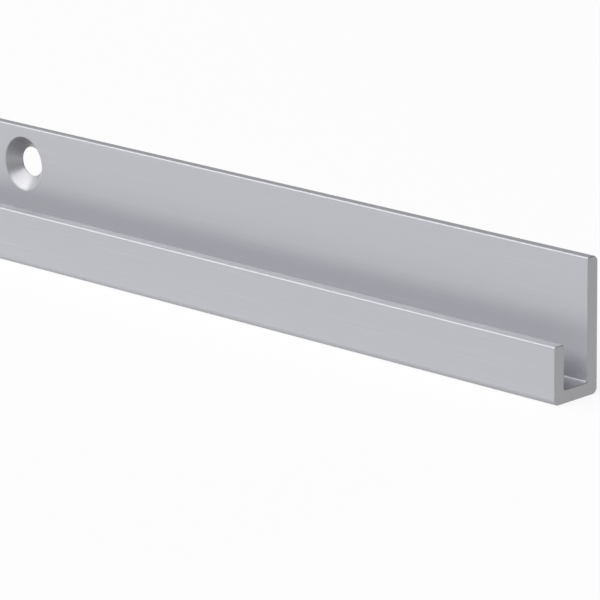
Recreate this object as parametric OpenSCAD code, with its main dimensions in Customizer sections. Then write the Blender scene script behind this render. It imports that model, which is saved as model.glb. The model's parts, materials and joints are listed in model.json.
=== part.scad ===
// Picture rail of J section: one aluminium extrusion, sawn square at both ends.
// A tall plate is screwed flat to a wall, and the floor and the short front lip make an open channel.
// Millimetres. X runs along the rail, Y points to the wall, Z is up.
// The origin is at the middle of the underside.

/* [Section] */
// Height of the wall plate, which is the height of the rail
rail_h = 20; // [16:0.5:40]
// Depth of the rail, from its back to the front of the lip
rail_d = 9; // [7:0.5:20]
// Height of the front lip above the underside
lip_h = 8.6; // [5:0.1:12]
// Thickness of the wall plate
plate_t = 2.1; // [1.6:0.1:3]
// Thickness of the front lip
lip_t = 2; // [1.5:0.1:3]
// Thickness of the floor of the channel
floor_t = 2; // [1.5:0.1:3]

/* [Edges] */
// Radius of the two edges at the back, top and bottom
back_r = 0.9; // [0.3:0.1:1.1]
// Radius of the front edge of the underside
front_r = 0.9; // [0.2:0.1:1]
// Radius of the upper edges of the lip and of the plate's front upper edge
rim_r = 0.3; // [0.1:0.05:0.5]
// Radius of the fillets on both sides of the channel's floor
channel_r = 0.4; // [0.1:0.1:1]

/* [Length and screw holes] */
// Length of the rail
rail_l = 1000; // [400:50:3000]
// Number of screw holes
hole_count = 4; // [2:1:12]
// Distance from each end to the first screw hole
hole_end = 116.5; // [20:0.5:150]
// Distance from the top of the plate down to the middle of each hole
hole_drop = 6; // [5:0.5:12]
// Diameter of the hole that the screw passes through
hole_dia = 4.7; // [3:0.1:6]
// Diameter of the countersink on the face of the plate
csk_dia = 8.5; // [7:0.1:9.5]
// Angle across the countersink's cone
csk_angle = 90; // [82:1:120]

/* [Hidden] */
$fn = 96;

// How far a cut reaches past the face that it opens
cut_over = 0.5;

front_y = -rail_d / 2;
back_y = rail_d / 2;
plate_y = back_y - plate_t;
channel_y = front_y + lip_t;
hole_z = rail_h - hole_drop;
hole_pitch = (rail_l - 2 * hole_end) / (hole_count - 1);
csk_slope = tan(csk_angle / 2);
csk_depth = (csk_dia - hole_dia) / 2 / csk_slope;

// Every rounded outer edge of the section: its corner in Y and Z, the turn of the corner and its radius
ROUND_EDGES = [
    [front_y, 0, 0, front_r],
    [front_y, lip_h, 270, rim_r],
    [channel_y, lip_h, 180, rim_r],
    [plate_y, rail_h, 270, rim_r],
    [back_y, rail_h, 180, back_r],
    [back_y, 0, 90, back_r]
];

// What lies between a right-angled corner at the origin and the arc that rounds it.
// Cut away it rounds an edge, and filled in it makes a fillet.
module corner_web(r) {
    difference() {
        translate([-cut_over, -cut_over]) square(r + cut_over);
        translate([r, r]) circle(r);
    }
}

// The floor, the lip and the plate with their fillets, before the edges are rounded
module square_section() {
    translate([front_y, 0]) square([rail_d, floor_t]);
    translate([front_y, 0]) square([lip_t, lip_h]);
    translate([plate_y, 0]) square([plate_t, rail_h]);
    translate([channel_y, floor_t]) corner_web(channel_r);
    translate([plate_y, floor_t]) rotate(90) corner_web(channel_r);
}

// The J section in the plane of Y and Z
module section() {
    difference() {
        square_section();
        for (e = ROUND_EDGES) {
            translate([e[0], e[1]]) rotate(e[2]) corner_web(e[3]);
        }
    }
}

// One countersunk hole, turned about the screw's axis, from the plate's face towards the wall
module screw_hole() {
    rotate([-90, 0, 0]) rotate_extrude() polygon([
        [0, -cut_over],
        [csk_dia / 2 + cut_over * csk_slope, -cut_over],
        [hole_dia / 2, csk_depth],
        [hole_dia / 2, plate_t + cut_over],
        [0, plate_t + cut_over]
    ]);
}

// The whole rail: the section along its length, with its row of countersunk holes
module rail() {
    color("#BBBBC1") difference() {
        rotate([90, 0, 90]) linear_extrude(rail_l, center = true) section();
        for (i = [0 : hole_count - 1]) {
            translate([hole_end - rail_l / 2 + i * hole_pitch, plate_y, hole_z]) screw_hole();
        }
    }
}

rail();
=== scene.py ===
"""Dresses the J-section aluminium wall rail: its fine mesh, its three finishes and the studio around it."""

import json
import logging
import math
from dataclasses import dataclass
from enum import IntEnum

import bmesh
import bpy
from mathutils import Matrix, Vector


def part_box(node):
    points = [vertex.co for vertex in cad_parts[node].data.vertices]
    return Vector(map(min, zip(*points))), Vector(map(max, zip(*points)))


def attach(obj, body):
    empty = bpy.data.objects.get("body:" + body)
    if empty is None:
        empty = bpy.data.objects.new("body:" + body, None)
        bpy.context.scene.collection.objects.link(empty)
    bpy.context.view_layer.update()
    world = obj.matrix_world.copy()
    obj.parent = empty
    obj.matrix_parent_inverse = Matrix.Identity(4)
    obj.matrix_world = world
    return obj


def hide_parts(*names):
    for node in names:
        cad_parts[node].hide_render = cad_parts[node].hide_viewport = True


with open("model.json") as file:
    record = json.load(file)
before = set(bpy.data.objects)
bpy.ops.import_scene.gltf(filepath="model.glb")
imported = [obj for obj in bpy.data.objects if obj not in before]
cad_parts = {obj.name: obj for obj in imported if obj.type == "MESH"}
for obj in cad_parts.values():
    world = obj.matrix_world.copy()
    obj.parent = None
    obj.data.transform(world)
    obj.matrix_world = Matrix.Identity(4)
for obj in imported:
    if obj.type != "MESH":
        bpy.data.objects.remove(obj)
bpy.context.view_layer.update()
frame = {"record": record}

LOG = logging.getLogger("rail")
NODE = "rail"
BODY = "root"

# Two lengths or directions nearer than this count as the same, in metres and as a cosine.
SAME_PLACE = 1e-6
SAME_DIRECTION = 0.9999

# A finished face has no more corners than this.
MOST_CORNERS = 4


def mm(value: float) -> float:
    """Returns a length in millimetres as metres."""
    return value / 1000


def linear(colour: str) -> tuple[float, float, float, float]:
    """Turns an sRGB hex colour into linear light.

    Args:
        colour: Six hex digits after a number sign.

    Returns:
        Red, green, blue and an alpha of one.
    """
    steps = [int(colour[i : i + 2], 16) / 255 for i in (1, 3, 5)]
    red, green, blue = [s / 12.92 if s <= 0.04045 else ((s + 0.055) / 1.055) ** 2.4 for s in steps]
    return red, green, blue, 1.0


def add_node(
    tree: bpy.types.NodeTree, kind: str, inputs: dict | None = None, **settings: object
) -> bpy.types.Node:
    """Adds a node to a tree with its settings, values and links.

    Args:
        tree: The node tree that gets the node.
        kind: Blender's name for the type of node.
        inputs: A value, or the output socket of another node, for each input by name or number.
        **settings: Values for the node's own properties.

    Returns:
        The new node.
    """
    node = tree.nodes.new(kind)
    for name, value in settings.items():
        setattr(node, name, value)
    for key, value in (inputs or {}).items():
        if isinstance(value, bpy.types.NodeSocket):
            tree.links.new(value, node.inputs[key])
        else:
            node.inputs[key].default_value = value
    return node


def add_object(name: str, data: bpy.types.ID) -> bpy.types.Object:
    """Adds an object to the scene, at the origin.

    Args:
        name: The object's name.
        data: The mesh, lamp or camera that it shows.

    Returns:
        The new object.
    """
    made = bpy.data.objects.new(name, data)
    bpy.context.scene.collection.objects.link(made)
    return made


def add_mesh(name: str, bm: bmesh.types.BMesh) -> bpy.types.Object:
    """Adds a modelled mesh to the scene and frees its bmesh.

    Args:
        name: The name of the mesh and of its object.
        bm: The modelled mesh.

    Returns:
        The new object.
    """
    mesh = bpy.data.meshes.new(name)
    bm.to_mesh(mesh)
    bm.free()
    return add_object(name, mesh)


def direction(azimuth: float, elevation: float) -> Vector:
    """Finds the way from the rail to something that stands round it.

    Args:
        azimuth: Degrees round the rail, 0 in front of it and 90 off its right end.
        elevation: Degrees above the floor.

    Returns:
        The direction, of length one.
    """
    turn, rise = math.radians(azimuth), math.radians(elevation)
    return Vector(
        (math.sin(turn) * math.cos(rise), -math.cos(turn) * math.cos(rise), math.sin(rise))
    )


def facing(out: Vector, roll: float = 0.0) -> Matrix:
    """Finds the turn that points a camera or lamp back along a direction.

    Args:
        out: The direction from what it faces to it.
        roll: Degrees that it is turned about that direction.

    Returns:
        The rotation.
    """
    right = Vector((0, 0, 1)).cross(out).normalized()
    up = out.cross(right)
    level = Matrix((right, up, out)).transposed()
    return level @ Matrix.Rotation(math.radians(roll), 3, "Z")


class Face(IntEnum):
    """The finishes of the rail, in the order of its material slots."""

    DRAWN = 0
    SAWN = 1
    COUNTERSUNK = 2


@dataclass(frozen=True, kw_only=True)
class Finish:
    """What every finish on the rail shares: a metal with two tones, a span of roughness and a relief."""

    name: str
    dark: str
    light: str
    metallic: float
    smooth: float
    rough: float
    relief: float

    def pattern(self, tree: bpy.types.NodeTree, place: bpy.types.NodeSocket) -> bpy.types.NodeSocket:
        """Adds the nodes of the finish's own pattern.

        Args:
            tree: The material's node tree.
            place: The point on the piece, in metres.

        Returns:
            The socket that carries the pattern, from 0 to 1.
        """
        raise NotImplementedError

    def material(self) -> bpy.types.Material:
        """Makes the material.

        Returns:
            A metal whose tone, roughness and relief all follow the finish's pattern.
        """
        made = bpy.data.materials.new(self.name)
        made.use_nodes = True
        tree = made.node_tree
        tree.nodes.clear()
        place = add_node(tree, "ShaderNodeTexCoord").outputs["Object"]
        height = self.pattern(tree, place)
        tone = add_node(
            tree,
            "ShaderNodeMix",
            {"Factor": height, "A": linear(self.dark), "B": linear(self.light)},
            data_type="RGBA",
        )
        # What stands up scatters more of the light, so it is rougher as well as lighter.
        gloss = add_node(
            tree,
            "ShaderNodeMapRange",
            {"Value": height, "To Min": self.smooth, "To Max": self.rough},
        )
        bump = add_node(tree, "ShaderNodeBump", {"Height": height, "Distance": self.relief})
        shader = add_node(
            tree,
            "ShaderNodeBsdfPrincipled",
            {
                "Base Color": tone.outputs["Result"],
                "Metallic": self.metallic,
                "Roughness": gloss.outputs["Result"],
                "Normal": bump.outputs["Normal"],
            },
        )
        add_node(tree, "ShaderNodeOutputMaterial", {"Surface": shader.outputs["BSDF"]})
        return made


@dataclass(frozen=True, kw_only=True)
class DrawnFinish(Finish):
    """Satin anodised aluminium: an even, slightly cool grey with faint draw lines along the rail.

    The etched metal and the clear oxide on it scatter most of the light and mirror the rest softly, so it
    is far less metallic than bare metal. The lines, the grain and the scratches are several times finer on
    a real rail, and are drawn as coarse as they need to show. Only the peaks of a noise, from scratch_start
    to scratch_full, become scratches, so that they are few.
    """

    name: str = "satin_anodised_aluminium"
    dark: str = "#BEBFC5"
    light: str = "#D2D3D9"
    metallic: float = 0.2
    smooth: float = 0.3
    rough: float = 0.5
    relief: float = mm(0.003)
    line_width: float = mm(0.4)
    line_length: float = mm(160)
    grain: float = mm(0.25)
    scratch_width: float = mm(0.15)
    scratch_length: float = mm(25)
    grain_share: float = 0.35
    plain_share: float = 0.5
    scratch_start: float = 0.73
    scratch_full: float = 0.79

    def streaks(
        self,
        tree: bpy.types.NodeTree,
        place: bpy.types.NodeSocket,
        length: float,
        width: float,
        detail: float,
    ) -> bpy.types.NodeSocket:
        """Adds a noise that is drawn out along the rail.

        Args:
            tree: The material's node tree.
            place: The point on the piece, in metres.
            length: About how long a streak is.
            width: About how wide a streak is.
            detail: How many finer layers the noise has.

        Returns:
            The socket that carries the noise.
        """
        drawn = add_node(
            tree,
            "ShaderNodeVectorMath",
            {0: place, 1: (1 / length, 1 / width, 1 / width)},
            operation="MULTIPLY",
        )
        noise = add_node(
            tree,
            "ShaderNodeTexNoise",
            {"Vector": drawn.outputs["Vector"], "Scale": 1.0, "Detail": detail, "Roughness": 0.6},
        )
        return noise.outputs["Fac"]

    def pattern(self, tree: bpy.types.NodeTree, place: bpy.types.NodeSocket) -> bpy.types.NodeSocket:
        """Adds the draw lines, the etched grain and a few hairline scratches.

        Args:
            tree: The material's node tree.
            place: The point on the piece, in metres.

        Returns:
            The socket that carries them all.
        """
        lines = self.streaks(tree, place, self.line_length, self.line_width, detail=2.0)
        grain = add_node(
            tree,
            "ShaderNodeTexNoise",
            {"Vector": place, "Scale": 1 / self.grain, "Detail": 1.0},
        )
        plain = add_node(
            tree,
            "ShaderNodeMix",
            {"Factor": self.grain_share, "A": lines, "B": grain.outputs["Fac"]},
        )
        hairs = self.streaks(tree, place, self.scratch_length, self.scratch_width, detail=0.0)
        scratches = add_node(
            tree,
            "ShaderNodeMapRange",
            {
                "Value": hairs,
                "From Min": self.scratch_start,
                "From Max": self.scratch_full,
                "To Max": 1 - self.plain_share,
            },
        )
        marked = add_node(
            tree,
            "ShaderNodeMath",
            {0: plain.outputs["Result"], 1: self.plain_share, 2: scratches.outputs["Result"]},
            operation="MULTIPLY_ADD",
        )
        return marked.outputs["Value"]


@dataclass(frozen=True, kw_only=True)
class CutFinish(Finish):
    """What the two cut finishes share: marks in rings round the middle of the tool that cut them."""

    mark: float

    def rings(self, tree: bpy.types.NodeTree, radius: bpy.types.NodeSocket) -> bpy.types.NodeSocket:
        """Adds the rings.

        Args:
            tree: The material's node tree.
            radius: The distance from the middle of the tool, in metres.

        Returns:
            The socket that carries the rings.
        """
        turns = add_node(tree, "ShaderNodeMath", {0: radius, 1: self.mark}, operation="DIVIDE")
        noise = add_node(
            tree,
            "ShaderNodeTexNoise",
            {"W": turns.outputs["Value"], "Scale": 1.0, "Detail": 2.0},
            noise_dimensions="1D",
        )
        return noise.outputs["Fac"]


@dataclass(frozen=True, kw_only=True)
class SawnFinish(CutFinish):
    """Bare sawn aluminium: a matt grey with the shallow arcs that a round blade leaves.

    The arcs are drawn coarser than a fine blade cuts them, so that they show.
    """

    name: str = "sawn_aluminium"
    dark: str = "#B9B9BC"
    light: str = "#C0C0C3"
    metallic: float = 1.0
    smooth: float = 0.5
    rough: float = 0.62
    relief: float = mm(0.003)
    mark: float = mm(0.3)
    blade_centre: tuple[float, float, float] = (0.0, mm(-60), mm(-95))

    def pattern(self, tree: bpy.types.NodeTree, place: bpy.types.NodeSocket) -> bpy.types.NodeSocket:
        """Adds the arcs of the saw.

        Args:
            tree: The material's node tree.
            place: The point on the piece, in metres.

        Returns:
            The socket that carries the arcs.
        """
        across = add_node(
            tree, "ShaderNodeVectorMath", {0: place, 1: (0.0, 1.0, 1.0)}, operation="MULTIPLY"
        )
        reach = add_node(
            tree,
            "ShaderNodeVectorMath",
            {0: across.outputs["Vector"], 1: self.blade_centre},
            operation="DISTANCE",
        )
        return self.rings(tree, reach.outputs["Value"])


@dataclass(frozen=True, kw_only=True)
class CountersunkFinish(CutFinish):
    """Aluminium turned by a countersink before it was anodised: fine rings round each screw hole.

    The rings are drawn coarser than the tool leaves them, so that they show. Its darker tones are painted
    shade.
    """

    first_x: float
    pitch: float
    height: float
    name: str = "countersunk_aluminium_painted_shade"
    # Both tones are darker than the drawn finish's: painted shade for the hollow of the countersink, over
    # the rings' own tone.
    dark: str = "#B0B0B4"
    light: str = "#BCBCC0"
    metallic: float = 0.3
    smooth: float = 0.3
    rough: float = 0.4
    relief: float = mm(0.003)
    mark: float = mm(0.25)

    def pattern(self, tree: bpy.types.NodeTree, place: bpy.types.NodeSocket) -> bpy.types.NodeSocket:
        """Adds the rings, centred on the nearest screw hole.

        Args:
            tree: The material's node tree.
            place: The point on the piece, in metres.

        Returns:
            The socket that carries the rings.
        """
        parts = add_node(tree, "ShaderNodeSeparateXYZ", {"Vector": place})
        from_hole = add_node(
            tree,
            "ShaderNodeMath",
            {0: parts.outputs["X"], 1: self.first_x},
            operation="SUBTRACT",
        )
        nearest = add_node(
            tree,
            "ShaderNodeMath",
            {0: from_hole.outputs["Value"], 1: self.pitch / 2, 2: -self.pitch / 2},
            operation="WRAP",
        )
        offset = add_node(
            tree,
            "ShaderNodeCombineXYZ",
            {"X": nearest.outputs["Value"], "Z": parts.outputs["Z"]},
        )
        radius = add_node(
            tree,
            "ShaderNodeVectorMath",
            {0: offset.outputs["Vector"], 1: (0.0, 0.0, self.height)},
            operation="DISTANCE",
        )
        return self.rings(tree, radius.outputs["Value"])


@dataclass(frozen=True)
class Corner:
    """A corner of the section: its place across and up, and the radius that rounds it."""

    y: float
    z: float
    radius: float


@dataclass
class Rail:
    """The rail itself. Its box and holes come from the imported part, the rest are its own sizes."""

    low: Vector
    high: Vector
    holes: list[Vector]
    hole_r: float
    lip_h: float = mm(8.6)
    plate_t: float = mm(2.1)
    lip_t: float = mm(2)
    floor_t: float = mm(2)
    back_r: float = mm(0.9)
    front_r: float = mm(0.9)
    rim_r: float = mm(0.3)
    channel_r: float = mm(0.4)
    csk_r: float = mm(4.25)
    csk_half_angle: float = math.radians(45)
    end_break: float = mm(0.12)
    hole_break: float = mm(0.08)
    arc_steps: int = 10
    break_steps: int = 3
    hole_steps: int = 96
    collar: float = mm(0.2)
    cell: float = mm(4.8)

    @property
    def plate_y(self) -> float:
        """The front face of the plate."""
        return self.high.y - self.plate_t

    @property
    def channel_y(self) -> float:
        """The inner face of the lip."""
        return self.low.y + self.lip_t

    def corners(self) -> list[Corner]:
        """Lists the corners of the section.

        Returns:
            The corners in order round the J, from the front of the underside.
        """
        return [
            Corner(self.low.y, self.low.z, self.front_r),
            Corner(self.high.y, self.low.z, self.back_r),
            Corner(self.high.y, self.high.z, self.back_r),
            Corner(self.plate_y, self.high.z, self.rim_r),
            Corner(self.plate_y, self.low.z + self.floor_t, self.channel_r),
            Corner(self.channel_y, self.low.z + self.floor_t, self.channel_r),
            Corner(self.channel_y, self.low.z + self.lip_h, self.rim_r),
            Corner(self.low.y, self.low.z + self.lip_h, self.rim_r),
        ]

    def extrude_section(self, bm: bmesh.types.BMesh) -> None:
        """Draws the section, rounds its corners and draws it out along the rail.

        Args:
            bm: The empty mesh that gets the rail.
        """
        corners = self.corners()
        points = [bm.verts.new((self.low.x, corner.y, corner.z)) for corner in corners]
        bm.faces.new(points)
        for point, corner in zip(points, corners):
            bmesh.ops.bevel(
                bm,
                geom=[point],
                offset=corner.radius,
                offset_type="OFFSET",
                affect="VERTICES",
                segments=self.arc_steps,
                profile=0.5,
                material=-1,
            )
        drawn = bmesh.ops.extrude_face_region(bm, geom=bm.faces[:], use_keep_orig=True)
        ends = [part for part in drawn["geom"] if isinstance(part, bmesh.types.BMVert)]
        bmesh.ops.translate(bm, verts=ends, vec=(self.high.x - self.low.x, 0, 0))
        bmesh.ops.recalc_face_normals(bm, faces=bm.faces[:])

    def plate_faces(self, bm: bmesh.types.BMesh) -> list[bmesh.types.BMFace]:
        """Finds the flat faces on the front and the back of the plate.

        Args:
            bm: The rail's mesh.

        Returns:
            The faces that lie wholly in one of the two planes.
        """
        planes = (self.plate_y, self.high.y)
        return [
            face
            for face in bm.faces
            if any(all(abs(v.co.y - y) < SAME_PLACE for v in face.verts) for y in planes)
        ]

    def open_cell(self, bm: bmesh.types.BMesh, hole: Vector) -> None:
        """Opens a square in both faces of the plate round a screw hole.

        Args:
            bm: The rail's mesh.
            hole: A point on the hole's axis.
        """
        for side in (-self.cell, self.cell):
            everything = bm.verts[:] + bm.edges[:] + bm.faces[:]
            bmesh.ops.bisect_plane(
                bm, geom=everything, plane_co=(hole.x + side, 0, 0), plane_no=(1, 0, 0)
            )
        for side in (-self.cell, self.cell):
            flats = [
                face
                for face in self.plate_faces(bm)
                if abs(face.calc_center_median().x - hole.x) < self.cell
            ]
            parts = {part for face in flats for part in (*face.verts, *face.edges, face)}
            bmesh.ops.bisect_plane(
                bm, geom=list(parts), plane_co=(0, 0, hole.z + side), plane_no=(0, 0, 1)
            )
        for y in (self.plate_y, self.high.y):
            middle = Vector((hole.x, y, hole.z))
            square = min(self.plate_faces(bm), key=lambda face: (face.calc_center_median() - middle).length)
            bmesh.ops.delete(bm, geom=[square], context="FACES_ONLY")

    def hole_profile(self) -> list[tuple[float, float]]:
        """Lists the points that are turned about a screw hole's axis.

        Returns:
            Radius and place across the rail, from a narrow collar on the plate's front to one on its back.
        """
        slope = math.tan(self.csk_half_angle)
        land_y = self.plate_y + (self.csk_r - self.hole_r) / slope
        return [
            (self.csk_r + self.collar, self.plate_y),
            (self.csk_r + self.hole_break, self.plate_y),
            (self.csk_r - self.hole_break, self.plate_y + self.hole_break / slope),
            (self.hole_r, land_y),
            (self.hole_r, self.high.y - self.hole_break),
            (self.hole_r + self.hole_break, self.high.y),
            (self.hole_r + self.collar, self.high.y),
        ]

    def cut_hole(self, bm: bmesh.types.BMesh, hole: Vector) -> None:
        """Turns one countersunk hole through the plate, with broken edges.

        Args:
            bm: The rail's mesh.
            hole: A point on the hole's axis.
        """
        self.open_cell(bm, hole)
        before = set(bm.faces)
        points = [bm.verts.new((hole.x + radius, y, hole.z)) for radius, y in self.hole_profile()]
        edges = [bm.edges.new(pair) for pair in zip(points, points[1:])]
        bmesh.ops.spin(
            bm,
            geom=points + edges,
            cent=(hole.x, 0, hole.z),
            axis=(0, 1, 0),
            angle=math.tau,
            steps=self.hole_steps,
            use_merge=True,
        )
        turned = set(bm.faces) - before
        for face in turned:
            face.normal_update()
            if abs(face.normal.y) < SAME_DIRECTION:
                face.material_index = Face.COUNTERSUNK
        # Each ring is a true edge between two turned faces, so the cone shades as a cone.
        for edge in {edge for face in turned for edge in face.edges}:
            edge.smooth = abs(edge.verts[0].co.y - edge.verts[1].co.y) > SAME_PLACE
        for y in (self.plate_y, self.high.y):
            rims = [
                edge
                for edge in bm.edges
                if edge.is_boundary and all(abs(vert.co.y - y) < SAME_PLACE for vert in edge.verts)
            ]
            bmesh.ops.triangle_fill(bm, use_beauty=True, edges=rims)

    def finish_ends(self, bm: bmesh.types.BMesh) -> None:
        """Gives the two sawn ends their finish and breaks their sharp edges.

        Args:
            bm: The rail's mesh.
        """
        ends = [face for face in bm.faces if abs(face.normal.x) > SAME_DIRECTION]
        for face in ends:
            face.material_index = Face.SAWN
        bmesh.ops.bevel(
            bm,
            geom=list({edge for face in ends for edge in face.edges}),
            offset=self.end_break,
            offset_type="OFFSET",
            affect="EDGES",
            segments=self.break_steps,
            profile=0.5,
            material=-1,
        )

    def build(self) -> bpy.types.Object:
        """Models the rail.

        Returns:
            The rail as one closed mesh, in place.
        """
        bm = bmesh.new()
        self.extrude_section(bm)
        for hole in self.holes:
            self.cut_hole(bm, hole)
        self.finish_ends(bm)
        bmesh.ops.remove_doubles(bm, verts=bm.verts[:], dist=SAME_PLACE)
        bmesh.ops.recalc_face_normals(bm, faces=bm.faces[:])
        for face in bm.faces:
            face.smooth = max(abs(part) for part in face.normal) < SAME_DIRECTION
        # A flat face of many corners is split with care here, and so leaves no empty triangles later.
        wide = [face for face in bm.faces if len(face.verts) > MOST_CORNERS]
        bmesh.ops.triangulate(bm, faces=wide, ngon_method="BEAUTY")
        return add_mesh("rail_profile", bm)

    def dress(self, piece: bpy.types.Object) -> None:
        """Gives the rail its three finishes.

        Args:
            piece: The rail's object.
        """
        xs = sorted(hole.x for hole in self.holes)
        finishes = {
            Face.DRAWN: DrawnFinish(),
            Face.SAWN: SawnFinish(),
            Face.COUNTERSUNK: CountersunkFinish(
                first_x=xs[0], pitch=xs[1] - xs[0], height=self.holes[0].z
            ),
        }
        for face in Face:
            piece.data.materials.append(finishes[face].material())


@dataclass(frozen=True)
class Floor:
    """A plain white floor, which keeps a soft shadow.

    It is lifted to white where it is seen directly or in metal. To the light that it scatters back it is
    a pale grey, so the channel and the underside keep their shade.
    """

    side: float = 60.0
    seen: str = "#FFFFFF"
    bounce: str = "#B8B8B8"
    lift: float = 0.9

    def build(self) -> bpy.types.Object:
        """Makes the floor.

        Returns:
            One large square under the rail.
        """
        bm = bmesh.new()
        bmesh.ops.create_grid(bm, x_segments=1, y_segments=1, size=self.side / 2)
        floor = add_mesh("floor", bm)
        floor.data.materials.append(self.material())
        return floor

    def material(self) -> bpy.types.Material:
        """Makes the floor's white.

        Returns:
            A matt white that glows a little for rays from the camera, off metal and through holes.
        """
        made = bpy.data.materials.new("white_paper")
        made.use_nodes = True
        tree = made.node_tree
        tree.nodes.clear()
        rays = add_node(tree, "ShaderNodeLightPath")
        seen = rays.outputs["Is Camera Ray"]
        for name in ("Is Glossy Ray", "Is Transmission Ray"):
            both = add_node(tree, "ShaderNodeMath", {0: seen, 1: rays.outputs[name]}, operation="MAXIMUM")
            seen = both.outputs["Value"]
        share = add_node(tree, "ShaderNodeMath", {0: seen, 1: self.lift}, operation="MULTIPLY")
        tone = add_node(
            tree,
            "ShaderNodeMix",
            {"Factor": seen, "A": linear(self.bounce), "B": linear(self.seen)},
            data_type="RGBA",
        )
        matt = add_node(tree, "ShaderNodeBsdfDiffuse", {"Color": tone.outputs["Result"]})
        white = add_node(tree, "ShaderNodeEmission", {"Strength": 1.0})
        mixed = add_node(
            tree,
            "ShaderNodeMixShader",
            {0: share.outputs["Value"], 1: matt.outputs["BSDF"], 2: white.outputs["Emission"]},
        )
        add_node(tree, "ShaderNodeOutputMaterial", {"Surface": mixed.outputs["Shader"]})
        return made


@dataclass(frozen=True)
class Softbox:
    """A flat studio lamp that faces the part of the rail in view."""

    name: str
    azimuth: float
    elevation: float
    distance: float
    width: float
    height: float
    radiance: float

    def build(self, target: Vector) -> bpy.types.Object:
        """Hangs the lamp.

        Args:
            target: The point that it faces.

        Returns:
            The lamp.
        """
        lamp = bpy.data.lights.new(self.name, "AREA")
        lamp.shape = "RECTANGLE"
        lamp.size = self.width
        lamp.size_y = self.height
        # An area lamp of this power has the wanted radiance all over its face.
        lamp.energy = self.radiance * math.pi * self.width * self.height
        piece = add_object(self.name, lamp)
        out = direction(self.azimuth, self.elevation)
        piece.matrix_world = Matrix.Translation(target + out * self.distance) @ facing(out).to_4x4()
        return piece


@dataclass(frozen=True)
class FillLight:
    """A broad, even light from far off, which lifts the side that the softbox leaves dark."""

    name: str
    azimuth: float
    elevation: float
    spread: float
    strength: float

    def build(self) -> bpy.types.Object:
        """Sets up the light.

        Returns:
            The lamp.
        """
        lamp = bpy.data.lights.new(self.name, "SUN")
        lamp.energy = self.strength
        lamp.angle = math.radians(self.spread)
        piece = add_object(self.name, lamp)
        piece.matrix_world = facing(direction(self.azimuth, self.elevation)).to_4x4()
        return piece


@dataclass(frozen=True)
class Studio:
    """The camera, the lamps and the room's plain light."""

    rail_end: float
    aim_from_end: float = mm(53.62)
    aim_height: float = mm(4.239)
    azimuth: float = 44.701
    elevation: float = 15.859
    roll: float = -0.758
    distance: float = mm(632.27)
    lens: float = 258.04
    near: float = mm(10)
    room: float = 0.07
    softbox: Softbox = Softbox(
        "main_softbox", azimuth=-27, elevation=45, distance=3.0, width=5.2, height=2.3, radiance=3.7
    )
    fill: FillLight = FillLight("back_fill", azimuth=190, elevation=2, spread=10, strength=1.7)

    @property
    def target(self) -> Vector:
        """The point that the camera and the softbox face."""
        return Vector((self.rail_end - self.aim_from_end, 0, self.aim_height))

    def add_camera(self) -> None:
        """Sets up the camera at the angle of the photograph."""
        camera = bpy.data.cameras.new("camera")
        camera.lens = self.lens
        camera.clip_start = self.near
        piece = add_object("camera", camera)
        out = direction(self.azimuth, self.elevation)
        piece.matrix_world = (
            Matrix.Translation(self.target + out * self.distance) @ facing(out, self.roll).to_4x4()
        )
        bpy.context.scene.camera = piece

    def add_light(self) -> None:
        """Lights the room evenly and sets up the softbox in front and the fill light behind."""
        world = bpy.data.worlds.new("room")
        world.use_nodes = True
        world.node_tree.nodes["Background"].inputs["Color"].default_value = (1, 1, 1, 1)
        world.node_tree.nodes["Background"].inputs["Strength"].default_value = self.room
        bpy.context.scene.world = world
        self.softbox.build(self.target)
        self.fill.build()


def rail_from_frame() -> Rail:
    """Reads the rail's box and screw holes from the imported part.

    Returns:
        The rail, ready to be built.
    """
    low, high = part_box(NODE)
    bores = [mount for mount in frame["record"]["mounts"] if mount["kind"] == "bore"]
    return Rail(low, high, [Vector(bore["pos_m"]) for bore in bores], mm(bores[0]["dims"]["r_mm"]))


def main() -> None:
    """Builds the rail and its studio."""
    logging.basicConfig(level=logging.INFO, format="%(name)s: %(message)s")
    bpy.context.scene.view_settings.view_transform = "Standard"
    rail = rail_from_frame()
    piece = rail.build()
    rail.dress(piece)
    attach(piece, BODY)
    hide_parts(NODE)
    LOG.info("%s: %d faces", piece.name, len(piece.data.polygons))
    floor = Floor().build()
    LOG.info("%s: the stage", floor.name)
    studio = Studio(rail.high.x)
    studio.add_camera()
    studio.add_light()
    LOG.info("studio: camera and lamps")


if __name__ == "__main__":
    main()
